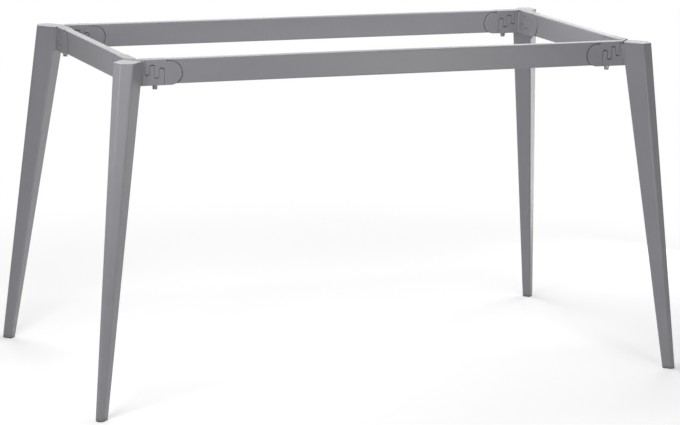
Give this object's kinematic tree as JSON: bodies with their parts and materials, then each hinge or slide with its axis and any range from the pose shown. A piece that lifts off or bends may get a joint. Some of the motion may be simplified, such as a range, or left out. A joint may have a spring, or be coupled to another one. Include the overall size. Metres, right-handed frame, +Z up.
{
  "type": "table frame",
  "caption": "Table frame of grey powder-coated steel: splayed, tapered legs turned to the diagonals, and rectangular rails that hook into them.",
  "frame": {"origin": "on the floor, midway between the four feet", "axes": "+X along the long rails to the right, +Y to the back, +Z up"},
  "size_m": [1.3152, 0.7082, 0.71],
  "materials": {
    "powder_coat": "satin powder coat, fine grain",
    "glide_plastic": "moulded, matt",
    "zinc_steel": "bright zinc plate"
  },
  "bodies": {
    "root": {"leg_front_left": "powder_coat", "leg_cap_front_left": "powder_coat", "foot_glide_front_left": "glide_plastic", "leg_hook_front_left": "powder_coat", "rail_hook_front_left": "powder_coat", "leg_hook_left_front": "powder_coat", "rail_hook_left_front": "powder_coat", "leg_front_right": "powder_coat", "leg_cap_front_right": "powder_coat", "foot_glide_front_right": "glide_plastic", "leg_hook_front_right": "powder_coat", "rail_hook_front_right": "powder_coat", "leg_hook_right_front": "powder_coat", "rail_hook_right_front": "powder_coat", "leg_back_left": "powder_coat", "leg_cap_back_left": "powder_coat", "foot_glide_back_left": "glide_plastic", "leg_hook_back_left": "powder_coat", "rail_hook_back_left": "powder_coat", "leg_hook_left_back": "powder_coat", "rail_hook_left_back": "powder_coat", "leg_back_right": "powder_coat", "leg_cap_back_right": "powder_coat", "foot_glide_back_right": "glide_plastic", "leg_hook_back_right": "powder_coat", "rail_hook_back_right": "powder_coat", "leg_hook_right_back": "powder_coat", "rail_hook_right_back": "powder_coat", "rail_front": "powder_coat", "rail_back": "powder_coat", "rail_left": "powder_coat", "rail_right": "powder_coat", "clamp_screws": "zinc_steel", "flat_washers": "zinc_steel", "lock_washers": "zinc_steel"}
  },
  "joints": []
}
